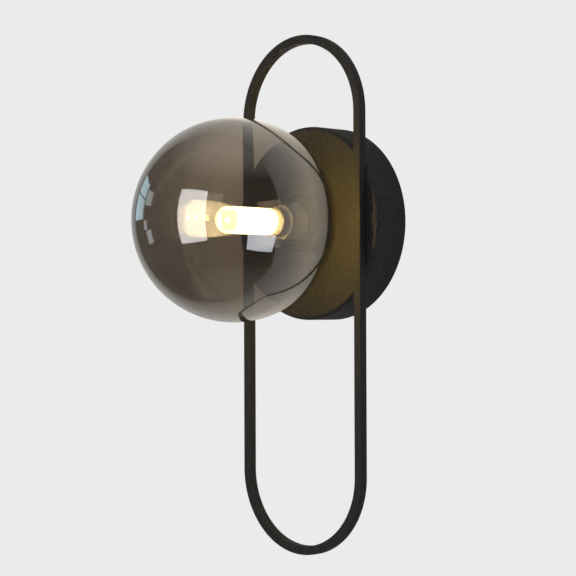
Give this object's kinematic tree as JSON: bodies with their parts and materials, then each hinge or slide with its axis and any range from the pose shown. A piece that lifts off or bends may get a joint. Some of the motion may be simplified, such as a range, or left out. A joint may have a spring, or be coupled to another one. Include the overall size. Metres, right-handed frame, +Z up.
{
  "type": "globe wall sconce",
  "caption": "Wall light with a smoke glass globe on a round matt black canopy, an oval bar ring lying flat between them, and a pin-base capsule lamp inside.",
  "frame": {"origin": "on the wall plane, on the common axis of canopy, globe and lamp, midway between the two wall screw slots", "axes": "+Z up, -Y out of the wall into the room, +X to the right seen from the room"},
  "size_m": [0.122, 0.1475, 0.3214],
  "materials": {
    "canopy_paint": "matt black fine-texture powder coat",
    "ring_paint": "matt black fine-texture powder coat",
    "smoke_glass": "smoke grey, lightly mirrored, glossy",
    "clear_cover": "clear, glossy",
    "bulb_body": "white, satin",
    "bulb_board": "white solder mask",
    "led": "yellow phosphor, glowing warm white",
    "socket_ceramic": "white, matt",
    "carrier_metal": "turned",
    "spring_steel": "bright",
    "zinc_steel": "zinc plated",
    "contact_brass": "nickel free, bright",
    "pin_metal": "bright",
    "block_plastic": "translucent white",
    "seal_rubber": "silicone, matt",
    "bush_rubber": "black, matt",
    "black_screw": "blackened steel",
    "lead_brown": "brown insulation",
    "lead_blue": "blue insulation",
    "lead_green_yellow": "green insulation with yellow stripe"
  },
  "bodies": {
    "fixture": {"canopy_shell": "canopy_paint", "ring_frame": "ring_paint", "ring_washers": "zinc_steel", "ring_screws": "zinc_steel", "globe_carrier": "carrier_metal", "lampholder_body": "socket_ceramic", "lampholder_contacts": "contact_brass", "lampholder_circlip": "spring_steel", "hollow_nipple": "zinc_steel", "nipple_washer": "zinc_steel", "nipple_nut": "zinc_steel", "neck_seal": "seal_rubber", "wall_bracket": "zinc_steel", "cable_bush": "bush_rubber", "canopy_screws": "black_screw", "terminal_block": "block_plastic", "terminal_contacts": "contact_brass", "terminal_screws": "zinc_steel", "terminal_fixing_screw": "zinc_steel", "earth_tag": "zinc_steel", "earth_washer": "zinc_steel", "earth_screw": "zinc_steel", "live_lead": "lead_brown", "neutral_lead": "lead_blue", "earth_lead": "lead_green_yellow"},
    "globe": {"globe_glass": "smoke_glass"},
    "lamp": {"bulb_base": "bulb_body", "bulb_pins": "pin_metal", "bulb_cover": "clear_cover", "bulb_core": "bulb_board", "bulb_chips": "led"}
  },
  "joints": [
    {"name": "globe_off", "type": "slide", "parent": "fixture", "child": "globe", "axis": [0, -1, 0], "range_m": [0, 0.13]},
    {"name": "lamp_out", "type": "slide", "parent": "fixture", "child": "lamp", "axis": [0, -1, 0], "range_m": [0, 0.014]}
  ]
}
